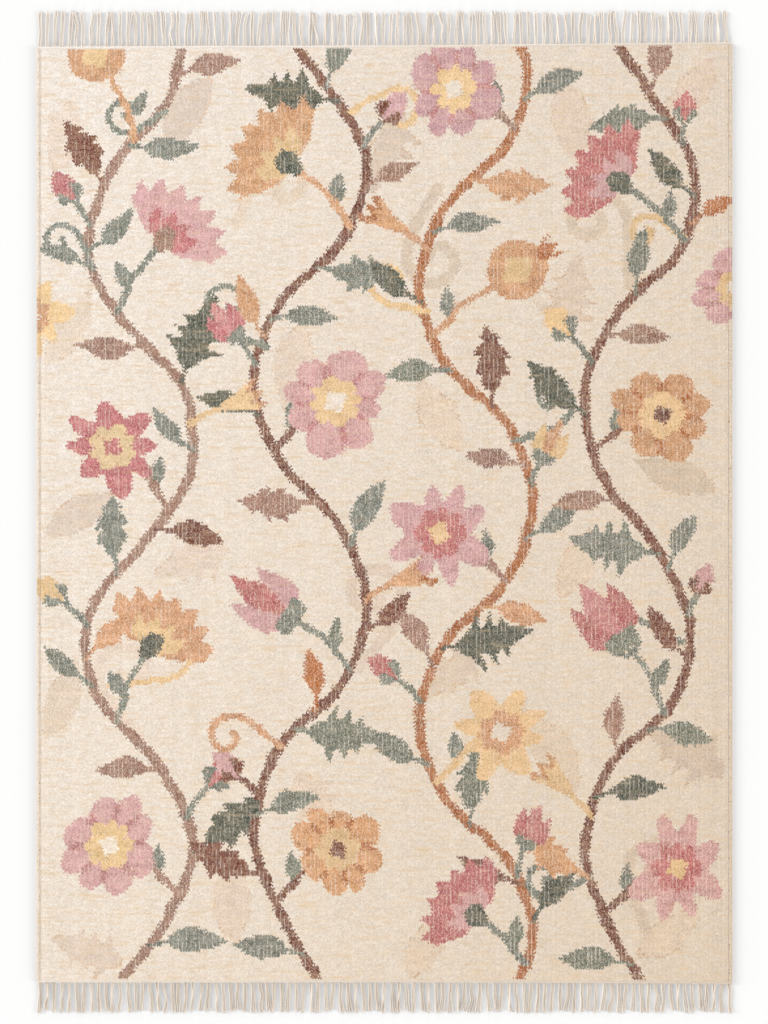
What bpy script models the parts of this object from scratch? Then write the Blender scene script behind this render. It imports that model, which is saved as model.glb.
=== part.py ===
"""Kilim rug: one flat weft-faced cloth between two rows of loose warp-end fringe.

Metres, +Z up. The rug lies face up on z = 0, its width along X and its length along Y.
The cloth is one solid. Each fringe is one solid too: its strands stand apart, and their
roots are fused into a narrow heading strip, parted from the cloth's end.
"""

import random
from collections import namedtuple

import bmesh
import bpy

# Overall size
WIDTH = 1.600
LENGTH = 2.300  # over both fringes
CLOTH_HEIGHT = 0.0040
PART_GAP = 0.0003  # between the cloth and each heading

# Where the last wefts lie at each end, across the rug. The far end runs slightly out of
# square, as the loom left it.
EndPoint = namedtuple("EndPoint", "across far near")
WOVEN_ENDS = (
    EndPoint(across=-0.800, far=1.0704, near=-1.0822),
    EndPoint(across=-0.400, far=1.0722, near=-1.0826),
    EndPoint(across=0.000, far=1.0734, near=-1.0822),
    EndPoint(across=0.400, far=1.0766, near=-1.0834),
    EndPoint(across=0.800, far=1.0808, near=-1.0856),
)

# The selvedge: a corded edge that stands a little above the cloth, with a groove beside it.
# inset is measured in from the long edge, under and over are the heights of the two faces.
EdgePoint = namedtuple("EdgePoint", "inset under over")
SELVEDGE = (
    EdgePoint(inset=0.0000, under=0.0014, over=0.0027),
    EdgePoint(inset=0.0008, under=0.0004, over=0.0041),
    EdgePoint(inset=0.0018, under=0.0000, over=0.0047),
    EdgePoint(inset=0.0036, under=0.0000, over=0.0050),
    EdgePoint(inset=0.0058, under=0.0000, over=0.0044),
    EdgePoint(inset=0.0076, under=0.0000, over=0.0034),
    EdgePoint(inset=0.0098, under=0.0000, over=CLOTH_HEIGHT),
)

# How the cloth ends: back is measured in from the end wall. pull_far is how far the far
# right corner, which is worn round, draws in, pull is the same for the other three, and
# height is the share of the cloth's height that is left.
CornerPoint = namedtuple("CornerPoint", "back pull_far pull height")
CORNERS = (
    CornerPoint(back=0.0000, pull_far=0.0046, pull=0.0008, height=0.86),
    CornerPoint(back=0.0030, pull_far=0.0020, pull=0.0003, height=0.90),
    CornerPoint(back=0.0070, pull_far=0.0006, pull=0.0000, height=1.00),
    CornerPoint(back=0.0120, pull_far=0.0000, pull=0.0000, height=1.00),
)

# Fringe
HEADING_DEPTH = 0.0050
HEADING_HEIGHT = 0.0034
HEADING_SHORT = 0.0010  # short of the cloth's edge, at each side
WORN_CORNER_SHORT = 0.0080  # the same at the far right corner, at the heading's outer wall
STRANDS = 95
STRAND_WIDTH = 0.0074  # two plied warps side by side
TIP_WIDTH = 0.0066
STRAND_HEIGHT = 0.0032
TIP_HEIGHT = 0.0026
CROWN_SHARE = 0.62  # of a strand's width, over its top
ROOT_MARGIN = 0.0060  # from the heading's end to the middle of the first strand
MOST_SHIFT = 0.0010  # of a root along the heading
MOST_LEAN = 0.0064  # of a tip to one side, before neighbours push it back
MOST_BOW = 0.0010
TIP_GAP = 0.0006  # the least space between two tips
MOST_SHORTFALL = 0.0100  # of a strand's length
STATIONS = (0.0, 0.36, 0.70, 1.0)  # shares of a strand's length

Fringe = namedtuple("Fringe", "name side seed")
FRINGES = (
    Fringe(name="fringe_far", side=1, seed=11),
    Fringe(name="fringe_near", side=-1, seed=29),
)

# Yarn colours, as linear values, and roughness
CREAM_WEFT = (0.823, 0.716, 0.578, 1.0)
WARP_COTTON = (0.807, 0.753, 0.672, 1.0)
YARN_ROUGHNESS = 0.93


def clear_scene():
    for thing in list(bpy.data.objects):
        bpy.data.objects.remove(thing, do_unlink=True)


def yarn_material(name, colour):
    material = bpy.data.materials.new(name)
    material.use_nodes = True
    shader = material.node_tree.nodes["Principled BSDF"]
    shader.inputs["Base Color"].default_value = colour
    shader.inputs["Roughness"].default_value = YARN_ROUGHNESS
    shader.inputs["Metallic"].default_value = 0.0
    return material


def add_object(name, shape, material):
    """Puts a finished bmesh in the scene as one object, its faces turned out."""
    bmesh.ops.recalc_face_normals(shape, faces=shape.faces)
    mesh = bpy.data.meshes.new(name)
    shape.to_mesh(mesh)
    shape.free()
    mesh.materials.append(material)
    thing = bpy.data.objects.new(name, mesh)
    bpy.context.scene.collection.objects.link(thing)
    return thing


def woven_end(across, side):
    """How far along Y the weaving reaches at this place across the rug."""
    for left, right in zip(WOVEN_ENDS, WOVEN_ENDS[1:]):
        if across <= right.across:
            break
    share = (across - left.across) / (right.across - left.across)
    if side > 0:
        return left.far + (right.far - left.far) * share
    return left.near + (right.near - left.near) * share


def cloth_columns():
    """The cloth's section from left to right, as (across, which side it belongs to, under, over)."""
    left = [(-WIDTH / 2 + p.inset, -1, p.under, p.over) for p in SELVEDGE]
    middle = [(p.across, 0, 0.0, CLOTH_HEIGHT) for p in WOVEN_ENDS[1:-1]]
    right = [(WIDTH / 2 - p.inset, 1, p.under, p.over) for p in reversed(SELVEDGE)]
    return left + middle + right


def cloth_row(shape, columns, side, corner):
    """One row of points across the cloth: its under points, then its over points."""
    under_row = []
    over_row = []
    for across, edge, under, over in columns:
        along = woven_end(across, side) - side * (HEADING_DEPTH + PART_GAP + corner.back)
        pull = corner.pull_far if (side > 0 and edge > 0) else corner.pull
        place = across - edge * pull
        under_row.append(shape.verts.new((place, along, under * corner.height)))
        over_row.append(shape.verts.new((place, along, over * corner.height)))
    return under_row, over_row


def build_cloth():
    columns = cloth_columns()
    shape = bmesh.new()
    rows = [cloth_row(shape, columns, -1, corner) for corner in CORNERS]
    rows += [cloth_row(shape, columns, 1, corner) for corner in reversed(CORNERS)]
    for (under, over), (next_under, next_over) in zip(rows, rows[1:]):
        for i in range(len(columns) - 1):
            shape.faces.new((over[i], over[i + 1], next_over[i + 1], next_over[i]))
            shape.faces.new((under[i], next_under[i], next_under[i + 1], under[i + 1]))
        for edge in (0, -1):
            shape.faces.new((under[edge], over[edge], next_over[edge], next_under[edge]))
    for under, over in (rows[0], rows[-1]):
        for i in range(len(columns) - 1):
            shape.faces.new((under[i], under[i + 1], over[i + 1], over[i]))
    return add_object("cloth", shape, yarn_material("cream_weft", CREAM_WEFT))


def spaced(places, limit):
    """The same places from left to right, moved just far enough that no two strands touch."""
    step = TIP_WIDTH + TIP_GAP
    places = list(places)
    places[0] = max(places[0], -limit)
    for i in range(1, len(places)):
        places[i] = max(places[i], places[i - 1] + step)
    places[-1] = min(places[-1], limit)
    for i in range(len(places) - 2, -1, -1):
        places[i] = min(places[i], places[i + 1] - step)
    return places


def strand_lines(fringe):
    """The strands' middle lines from left to right, each as (across, along) from root to tip."""
    chance = random.Random(fringe.seed)
    first = -WIDTH / 2 + HEADING_SHORT + ROOT_MARGIN
    last = WIDTH / 2 - HEADING_SHORT - ROOT_MARGIN
    if fringe.side > 0:
        last -= WORN_CORNER_SHORT - HEADING_SHORT
    draws = []
    for i in range(STRANDS):
        root = first + (last - first) * i / (STRANDS - 1)
        root += MOST_SHIFT * chance.uniform(-1, 1) * (0 < i < STRANDS - 1)
        tip = root + MOST_LEAN * chance.uniform(-1, 1)
        bow = MOST_BOW * chance.uniform(-1, 1)
        shortfall = MOST_SHORTFALL * chance.random() ** 2
        draws.append((root, tip, bow, shortfall))
    tips = spaced([tip for _, tip, _, _ in draws], (WIDTH - TIP_WIDTH) / 2)
    longest = min(shortfall for _, _, _, shortfall in draws)
    lines = []
    for (root, _, bow, shortfall), tip in zip(draws, tips):
        start = woven_end(root, fringe.side)
        reach = fringe.side * (LENGTH / 2 - shortfall + longest)
        line = []
        for share in STATIONS:
            across = root + (tip - root) * share ** 1.5 + bow * 4 * share * (1 - share)
            line.append((across, start + (reach - start) * share))
        lines.append(line)
    return lines


def strand_sections(shape, line):
    """Four-sided sections along a strand: under left, under right, over right, over left.
    The first one is a patch of the heading's outer wall, as high as the heading."""
    sections = []
    for share, (across, along) in zip(STATIONS, line):
        spread = (STRAND_WIDTH + (TIP_WIDTH - STRAND_WIDTH) * share) / 2
        crown = spread if share == 0 else spread * CROWN_SHARE
        top = HEADING_HEIGHT if share == 0 else STRAND_HEIGHT + (TIP_HEIGHT - STRAND_HEIGHT) * share
        corners = ((-spread, 0.0), (spread, 0.0), (crown, top), (-crown, top))
        sections.append([shape.verts.new((across + x, along, z)) for x, z in corners])
    return sections


def build_fringe(fringe):
    side = fringe.side
    shape = bmesh.new()
    short = WORN_CORNER_SHORT if side > 0 else HEADING_SHORT
    outer_ends = (-WIDTH / 2 + HEADING_SHORT, WIDTH / 2 - short)
    inner_ends = (-WIDTH / 2 + HEADING_SHORT, WIDTH / 2 - (short + HEADING_SHORT) / 2)

    # Outer wall, from left to right: the heading's corner, the strands' roots, its other corner
    strands = [strand_sections(shape, line) for line in strand_lines(fringe)]
    wall = []
    for across in outer_ends:
        along = woven_end(across, side)
        wall.append([shape.verts.new((across, along, z)) for z in (0.0, HEADING_HEIGHT)])
    left_corner, right_corner = wall
    posts = [left_corner]
    for sections in strands:
        under_left, under_right, over_right, over_left = sections[0]
        posts += [[under_left, over_left], [under_right, over_right]]
    posts.append(right_corner)

    # Inner wall: a post behind each post of the outer one
    backs = []
    for i, (under, _) in enumerate(posts):
        across = under.co.x
        if i == len(posts) - 1:
            across = inner_ends[1]
        along = woven_end(across, side) - side * HEADING_DEPTH
        backs.append([shape.verts.new((across, along, z)) for z in (0.0, HEADING_HEIGHT)])

    for i in range(len(posts) - 1):
        (under, over), (next_under, next_over) = posts[i], posts[i + 1]
        (back, back_over), (next_back, next_back_over) = backs[i], backs[i + 1]
        shape.faces.new((under, next_under, next_back, back))
        shape.faces.new((over, next_over, next_back_over, back_over))
        shape.faces.new((back, next_back, next_back_over, back_over))
        between_strands = i % 2 == 0
        if between_strands:
            shape.faces.new((under, next_under, next_over, over))
    for i in (0, -1):
        shape.faces.new((posts[i][0], posts[i][1], backs[i][1], backs[i][0]))

    for sections in strands:
        for here, there in zip(sections, sections[1:]):
            for i in range(4):
                j = (i + 1) % 4
                shape.faces.new((here[i], here[j], there[j], there[i]))
        shape.faces.new(sections[-1])
    return add_object(fringe.name, shape, yarn_material(fringe.name + "_cotton", WARP_COTTON))


clear_scene()
build_cloth()
for row in FRINGES:
    build_fringe(row)
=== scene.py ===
import math
import random
from functools import partial

import bpy
import numpy as np
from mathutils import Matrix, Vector


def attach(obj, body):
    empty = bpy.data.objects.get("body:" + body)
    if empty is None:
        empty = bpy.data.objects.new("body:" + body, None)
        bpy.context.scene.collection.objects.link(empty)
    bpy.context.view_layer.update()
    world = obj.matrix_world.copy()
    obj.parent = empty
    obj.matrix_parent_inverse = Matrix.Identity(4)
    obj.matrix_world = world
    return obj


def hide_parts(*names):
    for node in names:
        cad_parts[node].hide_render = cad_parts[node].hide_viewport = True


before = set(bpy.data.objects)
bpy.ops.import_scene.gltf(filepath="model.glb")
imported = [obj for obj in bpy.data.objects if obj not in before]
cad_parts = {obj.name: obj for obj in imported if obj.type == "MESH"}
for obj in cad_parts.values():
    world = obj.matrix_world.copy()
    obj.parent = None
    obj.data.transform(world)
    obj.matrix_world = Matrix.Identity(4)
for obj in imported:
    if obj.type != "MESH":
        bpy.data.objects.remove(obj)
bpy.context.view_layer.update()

# A hand-woven kilim, seen from straight above: wefts run across it and warps along it, and the
# warps' ends are its two fringes. Sizes are in metres, and places on the weaver's cartoon in cm.
WIDTH = 1.600
LENGTH = 2.300
# Where the weaving ends at each fringe: across, far, near.
WOVEN_ENDS = (
    (-0.8, 1.0704, -1.0822),
    (-0.4, 1.0722, -1.0826),
    (0.0, 1.0734, -1.0822),
    (0.4, 1.0766, -1.0834),
    (0.8, 1.0808, -1.0856),
)
CLOTH_HEIGHT = 0.0040
RIB_DEPTH = 0.0004
PART_GAP = 0.0003  # between the cloth and each heading
HEADING_DEPTH = 0.0050
HEADING_HEIGHT = 0.0039
HEADING_SHORT = 0.0010  # how much narrower than the cloth it is at each side
WORN_CORNER_SHORT = 0.0080  # the same at the far right corner, where its last strand is gone

# Warps are 3 mm apart. A pick, one pass of the weft, is 2.15 mm deep as beaten down.
WARP_PITCH = 0.0030
PICK_PITCH = 0.00215
WARPS = 532
PICKS = 996
PLAIN_PICKS = 1  # the cream band at each end
STEP_PICKS = 3  # the design's outlines go up in steps of so many picks
UNEVEN_PICKS = 0.2  # how far the line between two picks is out of place, in picks
BACK_PICKS = 6  # the back is drawn in strips of so many picks
BACK_INSET = 0.0018  # how much narrower than the cloth it is at each side

# A selvedge's section from its edge inwards: how far in, and how high.
SELVEDGE = (
    (0.0000, 0.0014), (0.0000, 0.0030), (0.0006, 0.0040), (0.0014, 0.0044),
    (0.0030, 0.0045), (0.0044, 0.0044), (0.0056, 0.0041),
)
SELVEDGE_WIDTH = 0.0056
GROOVE_WIDTH = 0.0028
# How much painted shade darkens the outer side of the left (-1) and right (1) cord, and each groove's share
# of tan.
CORD_OUTER_SHADE = {-1: 0.34, 1: 0.16}
GROOVE_TAN = {-1: 0.30, 1: 0.10}
DASHES = 0.06  # the share of the groove's turns that are brown

# The fringe: 95 strands at each end, 17 mm apart, each of three yarns 3 mm thick.
STRANDS = 95
TIP_WIDTH = 0.0066
TIP_GAP = 0.0006
ROOT_MARGIN = 0.0060
ROOT_INSIDE = 0.0030  # how far inside the heading a yarn starts
SIDE_MARGIN = 0.0040  # how near the rug's side a strand's middle comes
MOST_SHIFT = 0.0010  # how far a root may be out of line
MOST_LEAN = 0.0064
MOST_BOW = 0.0010
MOST_SHORTFALL = 0.0070
LOOSENED = 0.0040  # how much further the cut tips reach once their yarns have opened
YARN_RADIUS = 0.0015
YARN_APART = 0.0026
FLATTENED = 0.72  # a yarn's height for its width
PLY_PITCH = 0.0070
STATIONS = 40  # steps along a yarn
SIDES = 6  # faces round it
FIBRES = 4  # loose fibres at each cut end
FAR_YARN = "#E7DFD6"
NEAR_YARN = "#DBD1C4"
# Painted shade: the deeper tan of the yarns' undersides and the creases between them.
UNDERSIDE_SHADE_YARN = "#B08C64"

# The photograph, 1024 pixels high, shows 2.30 mm of the rug a pixel, from straight above.
PHOTO_PIXEL = 0.00230
PHOTO_HEIGHT = 1024
CAMERA_HEIGHT = 5.0
SENSOR = 36.0  # the camera's, in mm

# The floor is all but white, and reaches beyond every view.
FLOOR_COLOUR = "#F1F1F1"
FLOOR_HALF = 200.0
FLOOR_DEPTH = 0.0002  # how far it lies under the rug

# A pale, slightly blue room with windows on all four sides: each side's bearing in degrees and its
# share of the floor's light.
SKY_COLOUR = "#F6FAFF"
SKY_STRENGTH = 0.336
WINDOW_COLOUR = "#FFFDFA"
WINDOW_SIDES = {
    "left": (166.0, 0.30), "right": (-12.0, 0.21), "far": (84.0, 0.155), "near": (-97.0, 0.155),
}
# A side has a tall window over a low one: its share of the side's light, height and width in degrees.
WINDOW_BANDS = {"tall": (0.65, 16.0, 26.0), "low": (0.35, 8.0, 14.0)}

# The colours that each yarn's beads show from above, and how strongly the pale warps stand out.
YARNS = {
    "cream": ("#E2D5C7", 0.14),
    "ghost": ("#DAC7B5", 0.30),
    "ghost edge": ("#D3B599", 0.40),
    "green": ("#6E7469", 0.80),
    "deep green": ("#40493E", 0.60),
    "brown": ("#976C5C", 0.80),
    "deep brown": ("#6E301D", 0.66),
    "mauve": ("#CA989A", 0.60),
    "dusky mauve": ("#B77676", 0.65),
    "rose": ("#BA6367", 0.70),
    "coral": ("#C77F81", 0.64),
    "orange": ("#C89065", 0.72),
    "rust": ("#AC5F22", 0.72),
    "mustard": ("#DFBA88", 0.50),
    "straw": ("#D7B98F", 0.45),
    "tan": ("#CDAE8B", 0.25),
}
STRAW_LENGTHS = "#DDBE93"  # spun into the undyed yarn
PALE_WARP = "#E6DACA"

# How much a lot of yarn differs in depth, and its red, green and blue when it is more golden or pinker.
LOT_DEPTH = 0.09
LOT_TINT = (-0.005, -0.012, 0.05)

# Painted light: how much the wool's red, green and blue fall with each metre across the rug and rise with
# each metre along it, as light that falls off from the far left to the near right.
LIGHT_FALLOFF_ACROSS = (-0.120, -0.157, -0.207)
LIGHT_FALLOFF_ALONG = (0.028, 0.044, 0.069)

# The bake's image: how much of the rug's length its height covers, and where and how wide it draws
# the cloth's face, its back and the selvedges.
BAKE_LENGTH = 2.18
FACE_LEFT, FACE_WIDE = 0.005, 0.73
BACK_LEFT, BACK_WIDE = 0.785, 0.21
BACK_LOW, BACK_HIGH = 0.01, 0.29
SELVEDGE_LEFT, SELVEDGE_STEP = 0.750, 0.012


def linear(hex_colour):
    """An sRGB hex colour as the linear numbers that the renderer works in."""
    channels = [int(hex_colour[i : i + 2], 16) / 255 for i in (1, 3, 5)]
    return tuple(c / 12.92 if c <= 0.04045 else ((c + 0.055) / 1.055) ** 2.4 for c in channels)


def woven_end(across, side):
    """How far along the rug the weaving ends, at the far side (1) or the near side (-1)."""
    places = [row[0] for row in WOVEN_ENDS]
    ends = [row[1] if side > 0 else row[2] for row in WOVEN_ENDS]
    return np.interp(across, places, ends)


def cloth_end(across, side):
    """The cloth's own end, short of the fringe's heading."""
    return woven_end(across, side) - side * (HEADING_DEPTH + PART_GAP)


# The weaver's cartoon: the lot of yarn that shows over each warp in each pick.
def smooth_noise(seed, cell_across, cell_along):
    """Smooth random values from -1 to 1 over the cartoon, with cells of so many warps and picks."""
    chance = np.random.default_rng(seed)
    wide, high = int(WARPS / cell_across) + 3, int(PICKS / cell_along) + 3
    knots = chance.uniform(-1, 1, (high, wide))
    x = np.arange(WARPS) / cell_across
    y = np.arange(PICKS) / cell_along
    ix, iy = x.astype(int), y.astype(int)
    fx, fy = x - ix, y - iy
    fx, fy = fx * fx * (3 - 2 * fx), fy * fy * (3 - 2 * fy)
    low = knots[iy][:, ix] * (1 - fx) + knots[iy][:, ix + 1] * fx
    high = knots[iy + 1][:, ix] * (1 - fx) + knots[iy + 1][:, ix + 1] * fx
    return low * (1 - fy[:, None]) + high * fy[:, None]


# The cartoon's warps and picks in cm from the rug's middle, each a little out of place as in handwork.
HALF_WIDE = 80
NEAR_END, WOVEN_LENGTH = 107.7, 214.5
WARP_CM, PICK_CM = 0.3, 0.215
ACROSS, ALONG = np.meshgrid(
    (np.arange(WARPS) + 0.5) * WARP_PITCH * 100 - HALF_WIDE,
    (np.arange(PICKS) + 0.5) * WOVEN_LENGTH / PICKS - NEAR_END,
)
ACROSS = ACROSS + 0.30 * smooth_noise(3, 9, 12) + 0.25 * smooth_noise(4, 4, 6)
ALONG = ALONG + 0.30 * smooth_noise(5, 9, 12) + 0.20 * smooth_noise(6, 4, 6)
STEPPED = np.arange(PICKS) // STEP_PICKS * STEP_PICKS + STEP_PICKS // 2
ACROSS, ALONG = ACROSS[STEPPED], ALONG[STEPPED]

cartoon = np.zeros((PICKS, WARPS), np.int16)
passes = [("cream", 0.0, 0.0)]  # each number on the cartoon: its yarn, and its lot's depth and tint
lots = random.Random(41)


def patch(at, heading, reach):
    """The warps and picks within reach of a point, with their places along and left of a heading."""
    left = max(0, int((at[0] - reach + HALF_WIDE) / WARP_CM))
    right = max(0, min(WARPS, int((at[0] + reach + HALF_WIDE) / WARP_CM) + 2))
    low = max(0, int((at[1] - reach + NEAR_END) / PICK_CM))
    high = max(0, min(PICKS, int((at[1] + reach + NEAR_END) / PICK_CM) + 2))
    window = np.s_[low:high, left:right]
    x, y = ACROSS[window] - at[0], ALONG[window] - at[1]
    c, s = math.cos(math.radians(heading)), math.sin(math.radians(heading))
    return window, x * c + y * s, y * c - x * s


def new_lot(yarn):
    """Takes up a lot of a yarn, a little lighter or darker than the last, and gives its number."""
    passes.append((yarn, lots.uniform(-1, 1), lots.uniform(-1, 1)))
    return len(passes) - 1


def weave(window, inside, yarn):
    """Puts a yarn on the cartoon, in a lot of its own."""
    cartoon[window][inside] = new_lot(yarn)


def outline(window, inside, yarn, share, seed):
    """Puts a yarn on broken lengths of an area's edge."""
    grown = inside.copy()
    grown[2:] &= inside[:-2]
    grown[:-2] &= inside[2:]
    grown[:, 1:] &= inside[:, :-1]
    grown[:, :-1] &= inside[:, 1:]
    edge = inside & ~grown
    drawn = smooth_noise(seed, 5, 8)[window] > 1 - 2 * share
    weave(window, edge & drawn, yarn)


def smoothed(points, step=1.0):
    """A smooth line through the points, as places about a step apart."""
    points = [np.array(p, float) for p in points]
    ends = [2 * points[0] - points[1], *points, 2 * points[-1] - points[-2]]
    line = []
    for a, b, c, d in zip(ends, ends[1:], ends[2:], ends[3:]):
        count = max(2, int(np.linalg.norm(c - b) / step))
        for i in range(count):
            t = i / count
            line.append(
                0.5 * (2 * b + (c - a) * t + (2 * a - 5 * b + 4 * c - d) * t**2
                       + (3 * b - a - 3 * c + d) * t**3)
            )
    line.append(points[-1])
    return line


def stem(points, width, yarn, end=None):
    """A stem along the points, as wide as width, or thinning to end. Returns its smooth line."""
    line = smoothed(points)
    number = new_lot(yarn)
    end = width if end is None else end
    for i, (a, b) in enumerate(zip(line, line[1:])):
        half = (width + (end - width) * i / len(line)) / 2
        span = b - a
        long = max(float(np.hypot(*span)), 1e-6)
        heading = math.degrees(math.atan2(span[1], span[0]))
        window, u, v = patch((a + b) / 2, heading, long + half + 1)
        inside = np.hypot(np.maximum(np.abs(u) - long / 2, 0), v) < half
        cartoon[window][inside] = number
    return line


def along_line(line, share):
    """A line's place and heading at a share of its points."""
    i = min(int(share * (len(line) - 1)), len(line) - 2)
    span = line[i + 1] - line[i]
    return line[i], math.degrees(math.atan2(span[1], span[0]))


def leaf(at, heading, long, wide, yarn, curl=0.0, notches=0, blunt=0.8):
    """A pointed leaf with a bend, and notches like a saw along its edges where it has them."""
    window, u, v = patch(at, heading, long * 1.15 + abs(curl))
    t = np.clip(u / long, 0, 1)
    v = v - curl * t**2
    half = wide / 2 * np.sin(math.pi * t**blunt)
    if notches:
        half = half * (0.62 + 0.5 * (1 - (t * notches) % 1))
    inside = (u >= 0) & (u <= long) & (np.abs(v) < half)
    weave(window, inside, yarn)
    return window, inside


def lobed_leaf(at, heading, long, wide, yarn, curl):
    """An oak-like leaf: a slim blade with three pairs of pointed lobes that lean towards its tip."""
    lobes = 3
    window, u, v = patch(at, heading, long * 1.2 + abs(curl))
    t = np.clip(u / long, 0, 1)
    v = v - curl * t**2
    inside = (u >= 0) & (u <= long) & (np.abs(v) < 0.22 * wide * np.sin(math.pi * t**0.7) ** 0.7)
    for i in range(lobes):
        root = 0.10 + 0.60 * i / lobes
        reach = wide / 2 * (1.0 - 0.16 * i)
        slip = u - root * long - 0.55 * np.abs(v)
        depth = long * 0.24 * (1 - np.abs(v) / reach)
        inside |= (slip > 0) & (slip < depth) & (np.abs(v) < reach)
    weave(window, inside, yarn)
    return window, inside


def rosette(at, heading, size, outer, ring, heart, spokes=None):
    """A round flower: eight petals of uneven width and length, a ring of smaller ones, and a heart.
    The petals are blunt, with spokes between them, or pointed where it has no spokes."""
    petals = 8
    window, u, v = patch(at, heading, size * 1.2)
    out, bearing = np.hypot(u, v), np.arctan2(v, u)
    bearing = bearing + 0.16 * np.sin(2 * bearing + at[0] + 2 * at[1])
    lobe = np.abs(np.cos(petals * bearing / 2))
    rim = size * (0.74 + 0.26 * lobe**0.6 if spokes else 0.60 + 0.40 * lobe**1.6)
    rim = rim * (1 + 0.07 * np.sin(3 * bearing + at[0]) + 0.06 * np.sin(2 * bearing + at[1]))
    weave(window, out < rim, outer)
    if spokes:
        between = out * lobe < 0.028 * size * petals
        weave(window, (out < rim * 0.93) & between & (out > 0.45 * size), spokes)
    lobe = np.abs(np.sin(petals * bearing / 2))
    weave(window, out < 0.50 * size * (0.72 + 0.28 * lobe**0.7), ring)
    weave(window, np.abs(u) + np.abs(v) < 0.24 * size, heart)


def tulip(at, heading, size, outer, inner, cup):
    """A tulip seen from the side: two outer petals, one between them, and a small cup."""
    window, u, v = patch(at, heading, size * 1.25)
    t = u / size
    wide = 0.40 * size
    body = 0.55 + 0.45 * np.sqrt(np.clip(1 - ((t - 0.42) / 0.46) ** 2, 0, 1))
    valley = 0.62 + 0.38 * np.abs(np.abs(v) / wide - 0.45) / 0.55
    inside = (t > 0) & (np.abs(v) < wide * body * np.clip(t / 0.22, 0, 1) ** 0.6) & (t < valley + 0.04)
    weave(window, inside, outer)
    half = 0.40 * wide * np.sin(math.pi * np.clip((t - 0.12) / 0.95, 0, 1))
    weave(window, (t > 0.16) & (np.abs(v) < half), inner)
    half = 0.26 * size * (1 - 1.3 * np.abs(t - 0.10))
    weave(window, (t > -0.05) & (t < 0.20) & (np.abs(v) < half), cup)


def carnation(at, heading, size, fan, inner, cup):
    """A carnation seen from the side: a fan with a saw edge over a cup."""
    window, u, v = patch(at, heading, size * 1.25)
    behind = u + 0.10 * size
    out, bearing = np.hypot(behind, v), np.degrees(np.arctan2(v, behind))
    saw = np.abs((bearing / 17.0) % 1 - 0.5) * 2
    rim = size * (0.92 + 0.20 * saw)
    weave(window, (np.abs(bearing) < 62) & (out < rim) & (u > 0.08 * size), fan)
    saw = np.abs((bearing / 24.0 + 0.5) % 1 - 0.5) * 2
    rim = size * (0.52 + 0.18 * saw)
    weave(window, (np.abs(bearing) < 50) & (out < rim) & (u > 0.08 * size), inner)
    t = u / size
    half = 0.17 * size * (1.1 - np.abs(t - 0.16) * 3.2)
    weave(window, (t > -0.06) & (t < 0.34) & (np.abs(v) < half), cup)


def pomegranate(at, heading, size, skin, flesh, crown):
    """A round fruit with a diamond opening and a three-pointed crown."""
    window, u, v = patch(at, heading, size * 1.4)
    middle = 0.45 * size
    weave(window, np.hypot(u - middle, v) < 0.44 * size, skin)
    weave(window, np.abs(u - middle) * 0.9 + np.abs(v) < 0.24 * size, flesh)
    t = (u - 0.84 * size) / (0.30 * size)
    aside = np.abs(v) / size
    points = 0.45 + 0.55 * np.abs(np.cos(aside * 19))
    weave(window, (t > -0.2) & (t < points) & (aside < 0.09 + 0.09 * t), crown)


def bell(at, heading, size, petal, hem):
    """A bellflower with a wavy hem."""
    window, u, v = patch(at, heading, size * 1.2)
    t = u / size
    half = size * (0.12 + 0.34 * np.clip(t, 0, 1) ** 1.5)
    wave = 0.90 + 0.10 * np.cos(v / size * 22)
    inside = (t > 0) & (t < wave) & (np.abs(v) < half)
    weave(window, inside, petal)
    weave(window, inside & (t > wave - 0.20), hem)


def bud(at, heading, size, petal, sepal):
    """A closed bud between two sepals."""
    window, u, v = patch(at, heading, size * 1.2)
    t = u / size
    half = 0.30 * size * np.sin(math.pi * np.clip(t, 0, 1) ** 1.1)
    weave(window, (t > 0.1) & (t < 1) & (np.abs(v) < half), petal)
    half = 0.36 * size * np.sin(math.pi * np.clip(t / 0.62, 0, 1))
    weave(window, (t > 0) & (t < 0.62) & (np.abs(v) < half) & (np.abs(v) > 0.30 * size * t), sepal)


def tendril(at, heading, size, yarn, side, width, turns):
    """A thin stem that winds up at its end."""
    a = math.radians(heading)
    at = np.array(at, float)
    step = np.array((math.cos(a), math.sin(a)))
    aside = side * np.array((-step[1], step[0]))
    eye = at + step * size * 0.62 + aside * size * 0.22
    points = [at, at + step * size * 0.35 - aside * size * 0.06]
    for i in range(int(8 * turns) + 1):
        swing = -math.pi / 2 + i * math.pi / 4
        radius = size * 0.30 * (1 - 0.82 * i / (8 * turns))
        points.append(eye + radius * (step * math.cos(swing) + aside * math.sin(swing)))
    stem(points, width, yarn)


def twig(line, share, side, long, width, yarn, lean, bend):
    """A side stem that leaves a vine at a share of its length. Returns its tip, and its heading there."""
    place, turn = along_line(line, share)
    a = math.radians(turn + side * lean)
    b = math.radians(turn + side * lean * (1 + bend))
    middle = place + 0.5 * long * np.array((math.cos(a), math.sin(a)))
    tip = middle + 0.5 * long * np.array((math.cos(b), math.sin(b)))
    stem([place, middle, tip], width, yarn)
    return tip, turn + side * lean * (1 + bend)


def at_height(line, height):
    """The share of a line's points at which it passes a height on the cartoon."""
    return min(range(len(line)), key=lambda i: abs(line[i][1] - height)) / (len(line) - 1)


CREAM, GHOST, GHOST_EDGE = "cream", "ghost", "ghost edge"
BROWN, DEEP_BROWN = "brown", "deep brown"
GREEN, DEEP_GREEN = "green", "deep green"
MAUVE, DUSKY, ROSE, CORAL = "mauve", "dusky mauve", "rose", "coral"
ORANGE, RUST, MUSTARD, STRAW = "orange", "rust", "mustard", "straw"

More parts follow.
